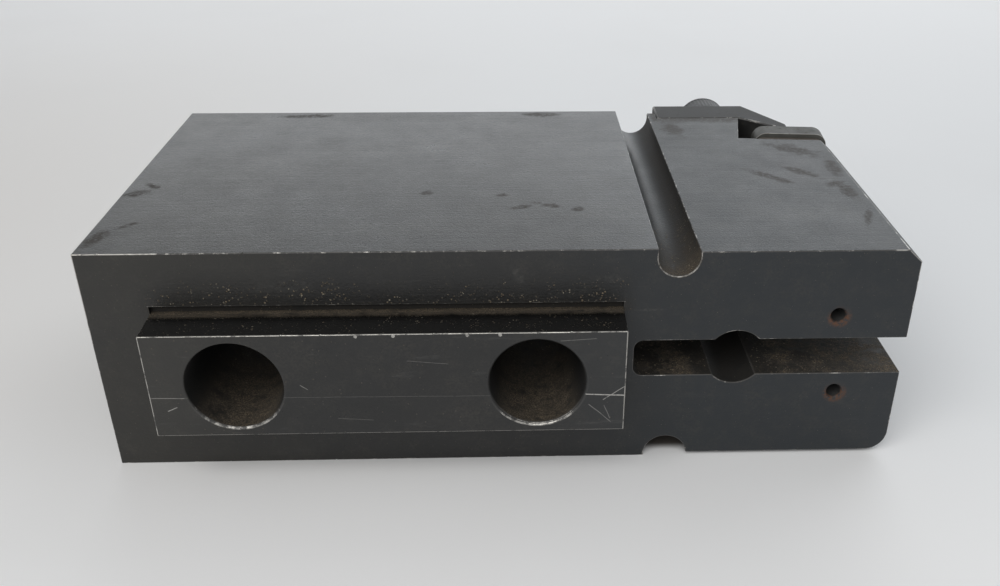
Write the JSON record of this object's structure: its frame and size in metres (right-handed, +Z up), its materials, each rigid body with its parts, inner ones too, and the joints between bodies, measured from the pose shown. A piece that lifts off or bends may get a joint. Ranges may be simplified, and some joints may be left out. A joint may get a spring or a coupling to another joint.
{
  "type": "turret tool block",
  "caption": "Keyed steel tool block, its split head holding an indexable insert under a strap clamp on each jaw.",
  "frame": {"origin": "on the surface the block lies on, under the middle of its bounding box", "axes": "+X from the shank's plain end to the cutting end, +Y from the mounting face to the clamping side, +Z up"},
  "size_m": [0.1718, 0.1196, 0.0508],
  "materials": {
    "block_steel": "black oxide, satin, worn bright along its edges",
    "clamp_steel": "black oxide, satin, oily",
    "screw_steel": "black oxide, semi-gloss",
    "carbide": "ground carbide, satin",
    "seat_carbide": "ground, stained brown",
    "ground_steel": "ground, hardened",
    "spring_steel": "drawn wire"
  },
  "bodies": {
    "block": {"tool_block": "block_steel", "upper_insert_seat": "seat_carbide", "upper_seat_screw": "screw_steel", "upper_clamp_spring": "spring_steel", "lower_insert_seat": "seat_carbide", "lower_seat_screw": "screw_steel", "lower_clamp_spring": "spring_steel", "spreader_washer": "screw_steel"},
    "upper_clamp_strap": {"upper_clamp": "clamp_steel"},
    "upper_screw": {"upper_clamp_screw": "screw_steel"},
    "upper_tip": {"upper_insert": "carbide"},
    "lower_clamp_strap": {"lower_clamp": "clamp_steel"},
    "lower_screw": {"lower_clamp_screw": "screw_steel"},
    "lower_tip": {"lower_insert": "carbide"},
    "spreader_plug": {"spreader_cone": "ground_steel"},
    "spreader_draw": {"spreader_screw": "screw_steel"}
  },
  "joints": [
    {"name": "upper_clamp_lift", "type": "slide", "parent": "block", "child": "upper_clamp_strap", "axis": [0, 1, 0], "range_m": [0, 0.0048], "deforming": ["upper_clamp_spring"]},
    {"name": "upper_clamp_screw_turn", "type": "hinge", "parent": "upper_clamp_strap", "child": "upper_screw", "pos_m": [0.05833, 0.05029, 0.0425], "axis": [0, 1, 0], "range_deg": [0, 1080]},
    {"name": "upper_insert_slide", "type": "slide", "parent": "block", "child": "upper_tip", "axis": [0.9962, -0.0872, 0], "range_m": [0, 0.022]},
    {"name": "lower_clamp_lift", "type": "slide", "parent": "block", "child": "lower_clamp_strap", "axis": [0, 1, 0], "range_m": [0, 0.0048], "deforming": ["lower_clamp_spring"]},
    {"name": "lower_clamp_screw_turn", "type": "hinge", "parent": "lower_clamp_strap", "child": "lower_screw", "pos_m": [0.05833, 0.05029, 0.0083], "axis": [0, 1, 0], "range_deg": [0, 1080]},
    {"name": "lower_insert_slide", "type": "slide", "parent": "block", "child": "lower_tip", "axis": [0.9962, -0.0872, 0], "range_m": [0, 0.022]},
    {"name": "spreader_cone_slide", "type": "slide", "parent": "block", "child": "spreader_plug", "axis": [0, 1, 0], "range_m": [-0.0064, 0]},
    {"name": "spreader_screw_turn", "type": "hinge", "parent": "block", "child": "spreader_draw", "pos_m": [0.04913, 0.04159, 0.0254], "axis": [0, 1, 0], "range_deg": [0, 1800]}
  ],
  "couplings": [
    {"joint": "upper_clamp_lift", "follows": "upper_clamp_screw_turn", "m_per_rad": 0.00025266},
    {"joint": "lower_clamp_lift", "follows": "lower_clamp_screw_turn", "m_per_rad": 0.00025266},
    {"joint": "spreader_cone_slide", "follows": "spreader_screw_turn", "m_per_rad": -0.00020213}
  ]
}
